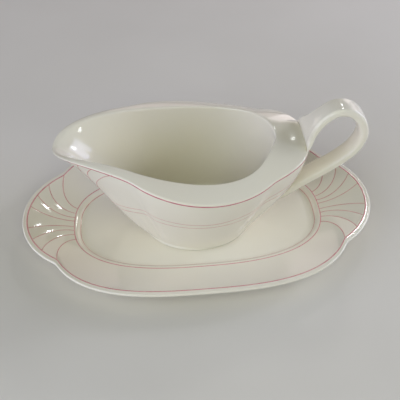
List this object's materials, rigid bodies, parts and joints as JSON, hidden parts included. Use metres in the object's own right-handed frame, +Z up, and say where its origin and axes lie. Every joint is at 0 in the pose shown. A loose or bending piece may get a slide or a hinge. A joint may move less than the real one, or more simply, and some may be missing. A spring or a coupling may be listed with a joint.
{
  "type": "gravy boat",
  "caption": "Porcelain gravy boat with a pouring spout and a looped strap handle, standing loose in the well of its lobed oval underplate.",
  "frame": {"origin": "middle of the underplate, at the height of the surface it stands on", "axes": "+X towards the handle along the underplate's length, +Y across it, +Z up"},
  "size_m": [0.24, 0.1584, 0.095],
  "materials": {
    "plate_glaze": "warm white porcelain under a clear gloss glaze",
    "boat_glaze": "warm white porcelain under a clear gloss glaze",
    "handle_glaze": "warm white porcelain under a clear gloss glaze",
    "pink_enamel": "fired-on rose enamel lines, satin gloss"
  },
  "bodies": {
    "plate": {"underplate": "plate_glaze"},
    "boat": {"boat_body": "boat_glaze", "boat_handle": "handle_glaze"}
  },
  "joints": [
    {"name": "boat_lift", "type": "slide", "parent": "plate", "child": "boat", "axis": [0, 0, 1], "range_m": [0, 0.1]}
  ]
}
